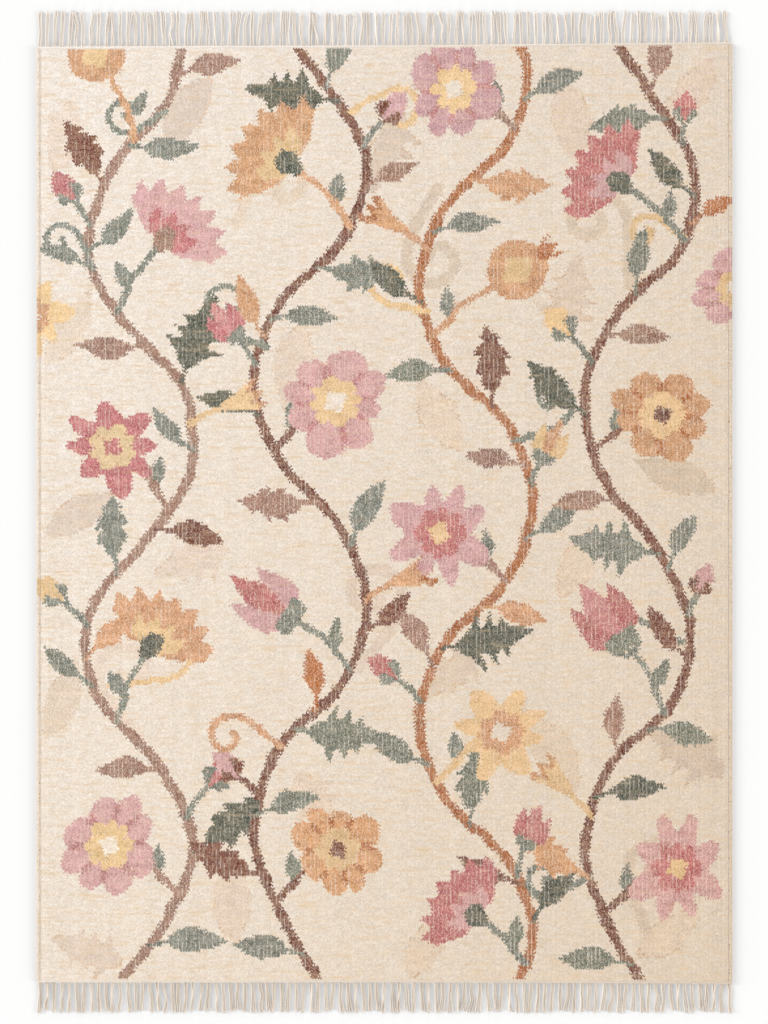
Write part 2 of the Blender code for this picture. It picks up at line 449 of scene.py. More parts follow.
# Ghosts: tone-on-tone leaves and tendrils, woven first, so that the vines cross them. Each leaf has
# its place, heading, length, width and curl, and the wide ones are lobed.
GHOSTS = [
    ((-78, -52), 60, 20, 8, 3), ((-34, -100), 100, 22, 9, -3), ((-20, -60), -60, 20, 11, 0),
    ((6, -108), 70, 19, 8, -2), ((44, -66), 110, 24, 9, 4), ((78, -60), 150, 22, 12, 0),
    ((40, -20), 60, 18, 8, 2), ((-78, -6), 40, 20, 8, -3), ((-36, -8), 200, 18, 11, 0),
    ((-18, 44), 250, 22, 9, 3), ((18, 14), 130, 20, 9, -3), ((22, -32), 220, 17, 10, 0),
    ((76, 4), 150, 20, 8, 3), ((40, 40), 75, 20, 12, 0), ((-78, 34), 50, 20, 8, 3),
    ((-40, 100), 230, 20, 9, 3), ((4, 92), 250, 20, 11, 0), ((40, 100), 290, 22, 9, -3),
    ((76, 104), 240, 20, 8, -3), ((-76, 78), 70, 18, 8, 2), ((58, -102), 30, 18, 8, 2),
    ((-60, -104), 160, 18, 10, 0),
]
for at, heading, long, wide, curl in GHOSTS:
    if wide < 10:
        window, inside = leaf(at, heading, long, wide, GHOST, curl, blunt=0.9)
        seed = int(at[0] * 7 + at[1]) % 97
    else:
        window, inside = lobed_leaf(at, heading, long, wide * 1.3, GHOST, curl)
        seed = int(at[0] * 5 + at[1]) % 89
    outline(window, inside, GHOST_EDGE, 0.45, seed)
for at, heading, size, side in [
    ((-6, -36), 60, 26, 1), ((-56, -52), 120, 24, -1), ((56, 52), 100, 26, 1),
    ((12, 74), 250, 24, 1), ((-34, 66), 60, 22, -1), ((60, -96), 100, 22, -1),
]:
    tendril(at, heading, size, GHOST, side, 2.6, 1.1)

# Vines: the places they climb through, and their yarn.
VINES = {
    "west": ([(-62, -110), (-50, -94), (-44, -76), (-52, -58), (-66, -42), (-68, -24), (-56, -8),
              (-45, 8), (-46, 28), (-60, 44), (-68, 60), (-62, 80), (-50, 94), (-46, 109)], BROWN),
    "midwest": ([(-14, -110), (-24, -92), (-30, -74), (-24, -54), (-10, -40), (-4, -22), (-10, -4),
                 (-24, 12), (-30, 30), (-24, 48), (-10, 62), (-4, 80), (-12, 96), (-22, 109)], DEEP_BROWN),
    "mideast": ([(30, -110), (34, -96), (28, -80), (14, -66), (8, -48), (14, -30), (28, -16),
                 (34, 2), (28, 20), (14, 34), (8, 52), (14, 70), (28, 84), (33, 100), (30, 109)], RUST),
    "east": ([(60, -110), (52, -96), (46, -78), (52, -58), (66, -44), (70, -26), (62, -8),
              (50, 8), (46, 28), (54, 46), (68, 60), (71, 78), (62, 94), (52, 109)], DEEP_BROWN),
}
lines = {name: stem(points, 2.2, yarn) for name, (points, yarn) in VINES.items()}

# The flowers: the shape and the yarns of each.
FLOWERS = {
    "mauve rosette": (rosette, MAUVE, MUSTARD, CREAM, DUSKY),
    "mauve star": (rosette, MAUVE, ROSE, MUSTARD),
    "rust rosette": (rosette, ORANGE, MUSTARD, DEEP_BROWN, RUST),
    "rose star": (rosette, ROSE, STRAW, ROSE),
    "mustard star": (rosette, MUSTARD, ORANGE, CREAM),
    "rose tulip": (tulip, ROSE, CORAL, GREEN),
    "mauve tulip": (tulip, MAUVE, ROSE, GREEN),
    "mustard tulip": (tulip, MUSTARD, ORANGE, GREEN),
    "orange carnation": (carnation, ORANGE, MUSTARD, DEEP_GREEN),
    "rose carnation": (carnation, ROSE, MAUVE, DEEP_GREEN),
    "mauve carnation": (carnation, MAUVE, ROSE, BROWN),
    "orange pomegranate": (pomegranate, ORANGE, MUSTARD, RUST),
    "mustard bell": (bell, MUSTARD, ORANGE),
    "orange bell": (bell, ORANGE, RUST),
    "rose bud": (bud, ROSE, GREEN),
    "mustard bud": (bud, MUSTARD, GREEN),
    "mauve bud": (bud, MAUVE, DEEP_BROWN),
}


def flower(name, at, heading, size):
    """One of the flowers, with its foot, or a round one's middle, at a place."""
    shape, *yarns = FLOWERS[name]
    shape(at, heading, size, *yarns)


# The flowers of each vine: height, side (1 left, -1 right), stem's length, flower, size, lean and
# stem's yarn.
BLOOMS = {
    "west": [
        (-88, 1, 20, "mauve rosette", 11.5, 70, BROWN),
        (-48, -1, 17, "orange carnation", 15, 60, GREEN), (0, 1, 20, "rose star", 11, 70, BROWN),
        (46, -1, 18, "mauve carnation", 15, 60, GREEN),
        (86, 1, 15, "orange pomegranate", 15, 60, ORANGE), (-26, 1, 7, "mustard bud", 9, 50, GREEN),
        (66, 1, 6, "rose bud", 9, 40, GREEN), (-70, -1, 8, "rose bud", 10, 50, GREEN),
        (20, -1, 8, "mustard bell", 10, 60, MUSTARD),
    ],
    "midwest": [
        (-90, -1, 19, "rust rosette", 10.5, 66, DEEP_BROWN), (-36, 1, 17, "mauve tulip", 17, 66, GREEN),
        (14, -1, 18, "mauve rosette", 12, 70, DEEP_BROWN),
        (66, 1, 18, "orange carnation", 16, 62, ORANGE), (-66, 1, 6, "mauve bud", 9, 50, DEEP_BROWN),
        (-20, -1, 7, "orange bell", 10, 60, ORANGE), (34, 1, 7, "rose tulip", 10, 40, GREEN),
        (84, -1, 7, "mauve bud", 9, 50, GREEN),
    ],
    "mideast": [
        (-104, 1, 14, "rose carnation", 14, 58, GREEN), (-62, -1, 19, "mustard star", 11, 70, MUSTARD),
        (-16, 1, 19, "mauve star", 12, 76, BROWN), (40, -1, 18, "orange pomegranate", 16, 64, ORANGE),
        (88, 1, 17, "mauve rosette", 11, 70, BROWN), (-84, -1, 7, "rose tulip", 10, 40, GREEN),
        (-44, 1, 7, "rose bud", 9, 50, GREEN), (6, -1, 6, "mustard tulip", 10, 30, GREEN),
        (60, 1, 7, "orange bell", 10, 60, ORANGE),
    ],
    "east": [
        (-92, -1, 20, "mauve star", 12, 74, DEEP_BROWN), (-46, 1, 18, "rose tulip", 17, 62, GREEN),
        (14, -1, 18, "rust rosette", 11, 70, DEEP_BROWN), (62, 1, 18, "rose carnation", 15, 62, GREEN),
        (-70, 1, 7, "mustard bell", 10, 50, MUSTARD), (-24, -1, 5, "mauve bud", 8, 30, GREEN),
        (34, 1, 7, "mustard bud", 10, 50, GREEN), (84, -1, 4, "rose bud", 8, 30, GREEN),
    ],
}

# The leaves of each vine: height, side, length, yarn and lean. From 15 cm they have a saw edge, and
# the longest are lobed.
LEAVES = {
    "west": [
        (-100, -1, 14, GREEN, 40), (-78, -1, 17, DEEP_GREEN, 50), (-60, 1, 12, BROWN, 45),
        (-40, 1, 11, GREEN, 35), (-34, -1, 12, ORANGE, 45), (-14, 1, 15, GREEN, 48),
        (-4, -1, 13, DEEP_BROWN, 50), (14, 1, 10, GREEN, 50), (30, -1, 18, DEEP_GREEN, 48),
        (38, 1, 13, BROWN, 45), (56, 1, 10, GREEN, 40), (60, -1, 11, GREEN, 52),
        (74, 1, 15, DEEP_BROWN, 42), (84, -1, 13, GREEN, 50), (100, -1, 12, BROWN, 50),
    ],
    "midwest": [
        (-102, 1, 13, GREEN, 42), (-84, 1, 16, DEEP_BROWN, 46), (-70, -1, 12, GREEN, 52),
        (-50, -1, 18, GREEN, 46), (-46, 1, 11, RUST, 46), (-28, -1, 11, DEEP_BROWN, 40),
        (-8, -1, 14, GREEN, 44), (2, 1, 15, BROWN, 46), (22, 1, 12, DEEP_GREEN, 44),
        (40, 1, 12, ORANGE, 46), (44, -1, 12, GREEN, 50), (56, -1, 16, GREEN, 46),
        (74, -1, 11, BROWN, 40), (94, 1, 18, DEEP_GREEN, 46), (98, -1, 12, GREEN, 46),
    ],
    "mideast": [
        (-94, -1, 12, DEEP_GREEN, 40), (-86, 1, 12, DEEP_BROWN, 46), (-72, -1, 16, GREEN, 48),
        (-58, 1, 13, GREEN, 44), (-36, 1, 12, BROWN, 44), (-32, -1, 18, DEEP_GREEN, 46),
        (-22, -1, 12, ORANGE, 42), (-6, -1, 12, GREEN, 40), (10, 1, 11, BROWN, 50),
        (24, -1, 16, DEEP_BROWN, 46), (32, 1, 12, GREEN, 46), (48, 1, 12, DEEP_GREEN, 44),
        (64, -1, 12, GREEN, 46), (76, -1, 15, ORANGE, 46), (94, -1, 12, GREEN, 42),
    ],
    "east": [
        (-104, 1, 13, GREEN, 44), (-84, 1, 15, ORANGE, 44), (-66, -1, 13, DEEP_GREEN, 50),
        (-56, 1, 11, BROWN, 44), (-50, -1, 12, GREEN, 40), (-34, 1, 12, DEEP_BROWN, 50),
        (-14, -1, 11, GREEN, 44), (-10, 1, 18, GREEN, 48), (2, 1, 12, BROWN, 44),
        (22, 1, 15, DEEP_GREEN, 44), (40, -1, 12, BROWN, 50), (50, 1, 12, GREEN, 44),
        (66, -1, 9, RUST, 36), (72, 1, 12, DEEP_GREEN, 50), (90, 1, 15, GREEN, 50),
        (96, -1, 14, BROWN, 46),
    ],
}
TENDRILS = [
    ((-63, -40), 15, 24, MUSTARD, 1), ((-67, 56), 120, 15, GREEN, 1), ((-27, 38), 150, 20, GREEN, -1),
    ((-24, -54), 150, 18, ORANGE, 1), ((30, 16), 30, 19, GREEN, 1), ((10, 46), 160, 17, MUSTARD, -1),
    ((68, -30), 160, 18, GREEN, 1), ((69, 62), 150, 14, MUSTARD, 1), ((-8, 92), 20, 18, MUSTARD, -1),
    ((47, -84), 200, 16, GREEN, -1), ((-50, 92), 200, 15, GREEN, -1),
]
for at, heading, size, yarn, side in TENDRILS:
    tendril(at, heading, size, yarn, side, 1.5, 1.0)
for vine, rows in LEAVES.items():
    line = lines[vine]
    for i, (height, side, long, yarn, lean) in enumerate(rows):
        tip, turn = twig(line, at_height(line, height), side, 3.5, 1.0, yarn, lean, 0.1)
        curl = side * (-2.2 if i % 2 else 2.0)
        if long < 15:
            leaf(tip, turn, long, long * 0.42, yarn, curl)
        elif long < 18:
            leaf(tip, turn, long, long * 0.52, yarn, curl, notches=4)
        else:
            lobed_leaf(tip, turn, long, long * 0.80, yarn, curl / 2)

for vine, rows in BLOOMS.items():
    line = lines[vine]
    for height, side, long, name, size, lean, yarn in rows:
        share = at_height(line, height)
        # The big flowers' stems have a small leaf each.
        if size > 9.5 and long > 10:
            fork, turn = twig(line, share, side, long * 0.35, 1.4, yarn, lean, 0.1)
            leaf(fork, turn - side * 62, 7.5, 3.4, GREEN, 0.8 * side)
        tip, turn = twig(line, share, side, long, 1.4, yarn, lean, 0.25)
        flower(name, tip, turn, size)

# Two flowers are cut through by the side edges.
flower("mauve rosette", (80.5, 51), 20, 9.5)
flower("mustard star", (-81, 45), 10, 9.0)

cartoon[:PLAIN_PICKS] = 0
cartoon[-PLAIN_PICKS:] = 0


class Sheets:
    """Gathers points and four-sided faces, with the yarn, weave place and bake place of each point."""

    def __init__(self):
        self.points, self.faces, self.yarn, self.weave, self.bake = [], [], [], [], []
        self.count = 0

    def lay(self, points, yarn, weave, bake):
        """Lays pieces given as (pieces, steps, across, 3), each a net of faces from step to step."""
        pieces, steps, wide = points.shape[:3]
        base = self.count + np.arange(pieces)[:, None, None, None] * steps * wide
        step = np.arange(steps - 1)[None, :, None, None] * wide
        column = np.arange(wide - 1)[None, None, :, None]
        corner = np.array([0, 1, wide + 1, wide])[None, None, None, :]
        self.faces.append((base + step + column + corner).reshape(-1, 4))
        self.points.append(points.reshape(-1, 3))
        for kept, given, size in ((self.yarn, yarn, 4), (self.weave, weave, 2), (self.bake, bake, 2)):
            kept.append(np.broadcast_to(given, (*points.shape[:3], size)).reshape(-1, size))
        self.count += pieces * steps * wide

    def piece(self, name, material):
        """The gathered faces as an object with its colours and maps."""
        mesh = bpy.data.meshes.new(name)
        points, faces = np.concatenate(self.points), np.concatenate(self.faces)
        mesh.from_pydata(points.tolist(), [], faces.tolist())
        colours = mesh.color_attributes.new(name="yarn", type="FLOAT_COLOR", domain="POINT")
        colours.data.foreach_set("color", np.concatenate(self.yarn).astype(np.float32).ravel())
        corners = faces.ravel()
        for title, places in (("weave", self.weave), ("OFBake", self.bake)):
            layer = mesh.uv_layers.new(name=title)
            layer.uv.foreach_set("vector", np.concatenate(places)[corners].astype(np.float32).ravel())
        mesh.shade_smooth()
        mesh.materials.append(material)
        made = bpy.data.objects.new(name, mesh)
        bpy.context.collection.objects.link(made)
        return made


def spread(first, *rest):
    """Arrays put side by side as coordinates, each as wide as the widest."""
    return np.stack(np.broadcast_arrays(first, *rest), -1)


def beads(cartoon):
    """The cartoon as woven. Where one colour hooks round a warp of the next, every second pair of
    picks reaches a warp or two further. Over each warp a bead is two picks deep, in step with
    every second warp."""
    pick, warp = np.indices(cartoon.shape)
    reach = 1 + (smooth_noise(71, 13, 5) > 0.25)
    hooked = cartoon[pick, np.clip(warp + reach * (pick // 2 % 2), 0, WARPS - 1)]
    return hooked[np.maximum(pick - (pick + warp) % 2, 0), warp]


def along_at(share, across):
    """The place along the rug of a share of the cloth's length, on the skew that its ends have."""
    near, far = cloth_end(across, -1), cloth_end(across, 1)
    return near + (far - near) * share


def painted_light_falloff(across, along):
    """Painted light: the wool's colour is made paler towards the far left and deeper towards the near right,
    as light falls off over the rug."""
    return np.exp(across[..., None] * LIGHT_FALLOFF_ACROSS + along[..., None] * LIGHT_FALLOFF_ALONG)


def coloured(colour, show, points):
    """The colour of each point of a piece, with the painted light over the rug, and how far the warps show in
    its yarn.
    """
    shaded = colour * painted_light_falloff(points[..., 0], points[..., 1])
    return np.concatenate([shaded, np.broadcast_to(show, shaded.shape[:-1])[..., None]], -1)


def on_face(points):
    """Where the bake draws the cloth's face: its plan, over the left of the image."""
    across, along = points[..., 0] / WIDTH + 0.5, points[..., 1] / BAKE_LENGTH + 0.5
    return spread(across * FACE_WIDE + FACE_LEFT, along)


def on_back(points):
    """Where the bake draws the cloth's back: smaller, in the image's lower right corner."""
    across, along = points[..., 0] / WIDTH + 0.5, points[..., 1] / BAKE_LENGTH + 0.5
    return spread(BACK_LEFT + across * BACK_WIDE, BACK_LOW + along * BACK_HIGH)


def woven_cloth(cartoon, passes, material):
    """The cloth: over each warp a rib, in lengths of one colour, the selvedge cords, and the back."""
    seen = beads(cartoon)
    chance = np.random.default_rng(23)
    # The picks are a little uneven, as beaten down by hand.
    lines = np.arange(PICKS + 1, dtype=float)
    lines[1:-1] += UNEVEN_PICKS * chance.uniform(-1, 1, PICKS - 1)
    lines /= PICKS
    # A lot of yarn is deeper or paler, and a little pinker or more golden, than the next. The palest
    # yarns aren't dyed, and their tint differs less.
    names, depths, tints = zip(*passes)
    colours = np.array([linear(YARNS[name][0]) for name in names])
    colours *= 1 + LOT_DEPTH * np.array(depths)[:, None]
    shows = np.array([YARNS[name][1] for name in names])
    colours *= 1 + np.array([LOT_TINT]) * (tints * np.minimum(1, 1.6 * shows))[:, None]

    inner = WIDTH / 2 - SELVEDGE_WIDTH - GROOVE_WIDTH
    pitch = WIDTH / WARPS
    fresh = np.ones((WARPS, PICKS), bool)
    fresh[:, 1:] = seen.T[:, 1:] != seen.T[:, :-1]
    warp, low = np.nonzero(fresh)
    high = np.append(low[1:], PICKS)
    high[high <= low] = PICKS
    number = seen[low, warp]
    # Three lines to a rib: valley, crest, valley. The selvedges cover the outermost ribs.
    thirds = warp[:, None] + np.array([0.0, 0.5, 1.0])
    sides = np.clip(thirds * pitch - WIDTH / 2, -inner, inner)
    kept = sides[:, 2] - sides[:, 0] > 1e-5
    low, high, number, sides = low[kept], high[kept], number[kept], sides[kept]
    warp, thirds = warp[kept], thirds[kept]
    sheets = Sheets()

    across = sides[:, None, :]
    line = lines[np.stack([low, high], 1)][:, :, None]
    crest = RIB_DEPTH * (1 + 0.3 * chance.uniform(-1, 1, WARPS))[warp]
    lift = np.stack([0 * crest, crest, 0 * crest], 1)[:, None, :]
    points = spread(across, along_at(line, across), CLOTH_HEIGHT - RIB_DEPTH + lift)
    weave = spread(thirds[:, None, :], np.stack([low, high], 1)[:, :, None])
    yarn = coloured(colours[number][:, None, None, :], shows[number][:, None, None], points)
    sheets.lay(points, yarn, weave, on_face(points))

    for side in (-1, 1):
        number = seen[::2, 1 if side < 0 else WARPS - 2]
        selvedge(sheets, side, lines[::2], colours[number], shows[number], chance)
    back(sheets, seen, colours, shows)
    return sheets.piece("woven_cloth", material)


def selvedge(sheets, side, lines, colour, show, chance):
    """A selvedge: turns of weft that wrap its cord, each a bead, and the groove inside it."""
    turns = len(lines) - 1
    inset, high = np.array(SELVEDGE if side < 0 else SELVEDGE[::-1]).T
    arc = np.append(0, np.cumsum(np.hypot(np.diff(inset), np.diff(high))))
    shares = np.array([0.0, 0.5, 1.0])
    swell = np.array([0.0, 1.0, 0.0])[None, :, None]
    line = (lines[:-1, None] + np.diff(lines)[:, None] * shares)[:, :, None]
    across = side * (WIDTH / 2 - inset - 0.0003 * (1 - swell))
    points = spread(across, along_at(line, across), high - 0.0005 * (1 - swell))
    shade = (1 + 0.05 * chance.uniform(-1, 1, turns))[:, None]
    pick = (2 * np.arange(turns)[:, None] + 2 * shares)[:, :, None]
    bake = spread(SELVEDGE_LEFT + SELVEDGE_STEP * (side > 0) + arc * 0.6, points[..., 1] / BAKE_LENGTH + 0.5)
    # Painted shade: the cord's outer side, which the low windows light, is coloured more tan and darker, more
    # so on the left.
    outer_shade = np.clip(1 - inset / 0.0030, 0, 1)[None, None, :, None]
    tan, brown = np.array(linear(YARNS["tan"][0])), np.array(linear(YARNS["brown"][0]))
    wrapped = (0.98 * colour * shade)[:, None, None, :]
    wrapped = wrapped + (tan * wrapped.mean(-1, keepdims=True) / 0.55 - wrapped) * 0.6 * outer_shade
    wrapped = wrapped * (1 - CORD_OUTER_SHADE[side] * outer_shade)
    wrap = coloured(wrapped, show[:, None, None], points)
    sheets.lay(points, wrap, spread(arc / WARP_PITCH, pick), bake)

    # The groove: yarn with some tan in it and a few short brown dashes.
    edge = WIDTH / 2 - SELVEDGE_WIDTH
    foot = edge - GROOVE_WIDTH
    across = side * np.array([edge, foot] if side < 0 else [foot, edge])
    lift = np.where(np.abs(across) == edge, SELVEDGE[-1][1], CLOTH_HEIGHT - RIB_DEPTH)
    points = spread(across + 0 * line, along_at(line, across), lift)
    dash = (chance.random(turns) < DASHES)[:, None]
    plain = GROOVE_TAN[side] * tan + (1 - GROOVE_TAN[side]) * colour
    dyed = np.where(dash, 0.3 * brown + 0.7 * tan, plain) * shade
    dyed = coloured(dyed[:, None, None, :], np.where(dash, 0.5, 0.2)[:, :, None], points)
    sheets.lay(points, dyed, spread(points[..., 0] / WARP_PITCH + WARPS, pick), on_face(points))


def runs_of(row):
    """Where each run of one number starts and ends in a row, cut at the bends of the cloth's ends."""
    cuts = np.flatnonzero(row[1:] != row[:-1]) + 1
    bends = [WARPS // 4, WARPS // 2, 3 * WARPS // 4]
    starts = np.unique(np.concatenate([[0], cuts, bends]))
    return starts, np.append(starts[1:], len(row))


def back(sheets, seen, colours, shows):
    """The back, flat on the floor, and the thin faces at the ends. A kilim's back shows the same
    design, drawn here by every sixth pick and every second warp."""
    inner = WIDTH / 2 - BACK_INSET
    pitch = WIDTH / WARPS
    found = []
    for pick in range(0, PICKS, BACK_PICKS):
        for a, b in zip(*runs_of(seen[pick][::2].repeat(2))):
            found.append((pick, min(pick + BACK_PICKS, PICKS), a, b, seen[pick][a]))
    low, high, left, right, number = np.array(found).T
    across = np.stack([right, left], 1) * pitch - WIDTH / 2
    across = np.clip(across, -inner, inner)[:, None, :]
    pick = np.stack([low, high], 1)[:, :, None]
    points = spread(across, along_at(pick / PICKS, across), 0.0)
    weave = spread((points[..., 0] + WIDTH / 2) / pitch, pick)
    yarn = coloured(colours[number][:, None, None, :], shows[number][:, None, None], points)
    sheets.lay(points, yarn, weave, on_back(points))
    for side in (-1, 1):
        across = np.linspace(-inner, inner, 9)[:, None]
        high = np.array([0.0, CLOTH_HEIGHT - RIB_DEPTH][::side])
        points = spread(across, along_at((side + 1) / 2, across), high)[None]
        weave = spread(points[..., 0] / pitch + WARPS, points[..., 2] / PICK_PITCH)
        bake = on_back(points)
        bake[..., 1] = BACK_LOW + BACK_HIGH + 0.06 + 0.02 * side + points[..., 2]
        sheets.lay(points, coloured(np.array(linear(YARNS["cream"][0])), 0.0, points), weave, bake)


def strand_lines(side, seed):
    """Each strand's root, tip and bow, and where it starts and ends along the rug."""
    chance = random.Random(seed)
    first = -WIDTH / 2 + HEADING_SHORT + ROOT_MARGIN
    last = WIDTH / 2 - HEADING_SHORT - ROOT_MARGIN
    if side > 0:
        last -= WORN_CORNER_SHORT - HEADING_SHORT
    draws = []
    for i in range(STRANDS):
        root = first + (last - first) * i / (STRANDS - 1)
        root += MOST_SHIFT * chance.uniform(-1, 1) * (0 < i < STRANDS - 1)
        tip = root + MOST_LEAN * chance.uniform(-1, 1)
        bow = MOST_BOW * chance.uniform(-1, 1)
        draws.append((root, tip, bow, MOST_SHORTFALL * chance.random() ** 2))
    step, limit = TIP_WIDTH + TIP_GAP, (WIDTH - TIP_WIDTH) / 2
    tips = [tip for _, tip, _, _ in draws]
    tips[0] = max(tips[0], -limit)
    for i in range(1, STRANDS):
        tips[i] = max(tips[i], tips[i - 1] + step)
    tips[-1] = min(tips[-1], limit)
    for i in range(STRANDS - 2, -1, -1):
        tips[i] = min(tips[i], tips[i + 1] - step)
    longest = min(short for _, _, _, short in draws)
    return [
        (root, tip, bow, woven_end(root, side), side * (LENGTH / 2 + LOOSENED - short + longest))
        for (root, _, bow, short), tip in zip(draws, tips)
    ]


def fringe(side, seed, yarn_colour, name, material):
    """A fringe: its heading, and strands of three plied yarns that lie side by side on the floor."""
    chance = np.random.default_rng(seed + 100)
    root, tip, bow, start, reach = np.array(strand_lines(side, seed)).T
    sheets = Sheets()
    share = np.linspace(0, 1, STATIONS)[None, :]
    bend = root[:, None] + (tip - root)[:, None] * share**1.5 + bow[:, None] * 4 * share * (1 - share)
    each = (STRANDS, 1)
    # Each strand waves a little from side to side as it lies.
    wave = chance.normal(0, 0.0011, each) * np.clip(share * 3, 0, 1)
    bend = bend + wave * np.sin(share * chance.uniform(4, 9, each) + chance.uniform(0, 6, each))
    bend = np.clip(bend, -WIDTH / 2 + SIDE_MARGIN, WIDTH / 2 - SIDE_MARGIN)
    # The outer yarns cross over once in about every fifth strand.
    crossings = chance.choice([0, 0, 0, 0, 1], STRANDS)
    lone = chance.random(STRANDS)
    around = np.linspace(-math.pi / 2, 1.5 * math.pi, SIDES + 1)[None, None, :]
    for yarn in (-1, 0, 1):
        swing = crossings[:, None] * math.pi * share + 0.25 * chance.uniform(-1, 1, each)
        gape = 1 + (0.5 * lone + 0.9 * (lone > 0.8))[:, None] * share**2 * (crossings[:, None] == 0)
        middle = bend + yarn * YARN_APART * np.cos(swing) * gape
        middle += 0.0006 * np.sin(share * chance.uniform(5, 9, each) + chance.uniform(0, 6, each))
        length = reach - start - side * 0.004 * chance.random(STRANDS)
        inside = side * ROOT_INSIDE
        along = start[:, None] - inside + (length[:, None] + inside) * share
        over = np.maximum(0, yarn * np.sin(swing))
        thick = YARN_RADIUS * (1 + 0.10 * chance.uniform(-1, 1, each))
        # A cut end loosens a little before it closes.
        loosened = 1 + 0.18 * np.clip((share - 0.86) / 0.08, 0, 1)
        thick = thick * loosened * np.clip((1.015 - share) / 0.05, 0.12, 1) ** 0.6
        high = thick * 1.02 + YARN_RADIUS * 1.5 * over
        # Two plies wind round each other once every 7 mm.
        run = np.abs(along - start[:, None]) / PLY_PITCH
        wound = 2 * math.pi * run + chance.uniform(0, 6, each)
        radius = thick[:, :, None] * (0.86 + 0.16 * np.cos(2 * (around - wound[:, :, None])))
        # The angle runs so that the faces look outwards on both fringes.
        points = spread(
            middle[:, :, None] - side * radius * np.cos(around),
            along[:, :, None] + 0 * around,
            FLATTENED * (high[:, :, None] + radius * np.sin(around)),
        )
        points[..., 2] = np.maximum(points[..., 2], 0.0)
        lot = 1 + 0.05 * chance.uniform(-1, 1, (STRANDS, 1, 1, 1)) + np.zeros((STRANDS, 1, 1, 4))
        lot[..., 3] = 1
        # Painted shade: each yarn's underside and its sides, where it lies against the next yarn, are
        # coloured a deeper tan, by a share that differs from strand to strand.
        underside_shade = np.clip(0.66 + 0.25 * chance.normal(0, 1, (STRANDS, 1, 1, 1)), 0.2, 1.0)
        underside = np.clip(0.7 - 0.8 * np.sin(around), 0, 1)[..., None]
        colour = np.array([*linear(yarn_colour), 0.5]) * lot
        colour = colour + (np.array([*linear(UNDERSIDE_SHADE_YARN), 0.5]) - colour) * underside_shade * underside
        turn = (around + math.pi / 2) / (2 * math.pi)
        weave = spread(turn + np.zeros(points.shape[:3]), run[:, :, None])
        index = (np.arange(STRANDS) * 3 + yarn + 1)[:, None, None]
        bake = spread((index + turn * 0.9) / (3 * STRANDS), 0.05 + 0.94 * share[:, :, None])
        sheets.lay(points, colour, weave, bake)
        # The loose fibres take the yarn's colour at its underside, painted shade included.
        loose_fibres(sheets, side, middle[:, -1], along[:, -1], colour[:, 0, 0], chance)
    heading(sheets, side, chance)
    return sheets.piece(name, material)


def loose_fibres(sheets, side, middle, along, colour, chance):
    """A few single fibres that stand out from each cut end."""
    for _ in range(FIBRES):
        lean = chance.normal(0, 0.35, STRANDS)
        long = chance.uniform(0.003, 0.006, STRANDS)
        thin = 0.00018
        share = np.array([0.0, 0.5, 1.0])[None, :, None]
        x = middle[:, None, None] + (np.sin(lean) * long)[:, None, None] * share
        y = along[:, None, None] + side * ((np.cos(lean) * long)[:, None, None] * share - 0.004)
        z = 0.0014 - 0.0010 * share
        turn = np.linspace(-math.pi / 2, 1.5 * math.pi, 4)[None, None, :]
        radius = thin * (1.05 - share)
        points = spread(x - side * radius * np.cos(turn), y + 0 * turn, z + radius * np.sin(turn))
        weave = spread(turn * 0, share * 0.2)
        left = 0.01 + 0.98 * (middle[:, None, None] / WIDTH + 0.5)
        bake = spread(left + 0.0005 * turn, 0.012 + 0.01 * share)
        sheets.lay(points, colour[:, None, None, :], weave, bake)


def heading(sheets, side, chance):
    """The heading: the last wefts, twined round each pair of warps in a line of beads."""
    left, right = -WIDTH / 2 + HEADING_SHORT, WIDTH / 2 - HEADING_SHORT
    steps = int((right - left) / WARP_PITCH) + 1
    across = np.linspace(left, right, steps)[:, None]
    depth = HEADING_DEPTH + PART_GAP
    section = np.array([(0.0, 0.92), (0.2, 0.97), (0.6, 1.0), (0.88, 0.95), (1.0, 0.75), (1.0, 0.0)])
    swell = 1 - 0.05 * (np.arange(steps) % 2)[:, None] + 0.04 * chance.uniform(-1, 1, (steps, 1))
    # The far right corner is worn round.
    worn = np.clip((across - right) / (2 * WORN_CORNER_SHORT) + 1, 0, 1) ** 3 * (side > 0)
    along = woven_end(across, side) - side * depth * (1 - section[:, 0] * (1 - 0.85 * worn))
    # Every second bead ends a little shorter, which leaves a scalloped edge.
    along = along - side * 0.0009 * (np.arange(steps) % 2)[:, None] * (section[:, 0] > 0.8)
    high = HEADING_HEIGHT * section[:, 1] * swell
    points = spread(across, along, high)[None]
    if side > 0:
        points = points[:, ::-1]
    arc = np.append(0, np.cumsum(np.hypot(*np.diff(section * [depth, HEADING_HEIGHT], axis=0).T)))
    weave = spread(points[..., 0] / (2 * WARP_PITCH), arc / PLY_PITCH)
    bake = spread(0.005 + 0.99 * (points[..., 0] / WIDTH + 0.5), 0.026 + arc)
    sheets.lay(points, coloured(np.array(linear(YARNS["cream"][0])), 0.2, points), weave, bake)


def new_material(name):
    """A material with its node tree and the shader that Blender gives it."""
    made = bpy.data.materials.new(name)
    made.use_nodes = True
    return made, made.node_tree, made.node_tree.nodes["Principled BSDF"]


def join(tree, made, sockets):
    """Links or sets a node's sockets, by number or by name."""
    for socket, value in sockets.items():
        if isinstance(value, bpy.types.NodeSocket):
            tree.links.new(value, made.inputs[socket])
        else:
            made.inputs[socket].default_value = value


def add(tree, kind, *inputs, sockets=None, **settings):
    """Adds a node, which may have its operation after its kind, with its settings and links. The
    inputs go to its sockets in order. Gives back its first output."""
    kind, _, operation = kind.partition(" ")
    made = tree.nodes.new("ShaderNode" + kind)
    if operation:
        made.operation = operation
    for name, value in settings.items():
        setattr(made, name, value)
    join(tree, made, {**dict(enumerate(inputs)), **(sockets or {})})
    return next(out for out in made.outputs if out.enabled)


def weave_places(tree):
    """A point's place across and along the weave, in warps and picks, or round and along a yarn."""
    places = add(tree, "SeparateXYZ", add(tree, "UVMap", uv_map="weave")).node
    return places.outputs[0], places.outputs[1]


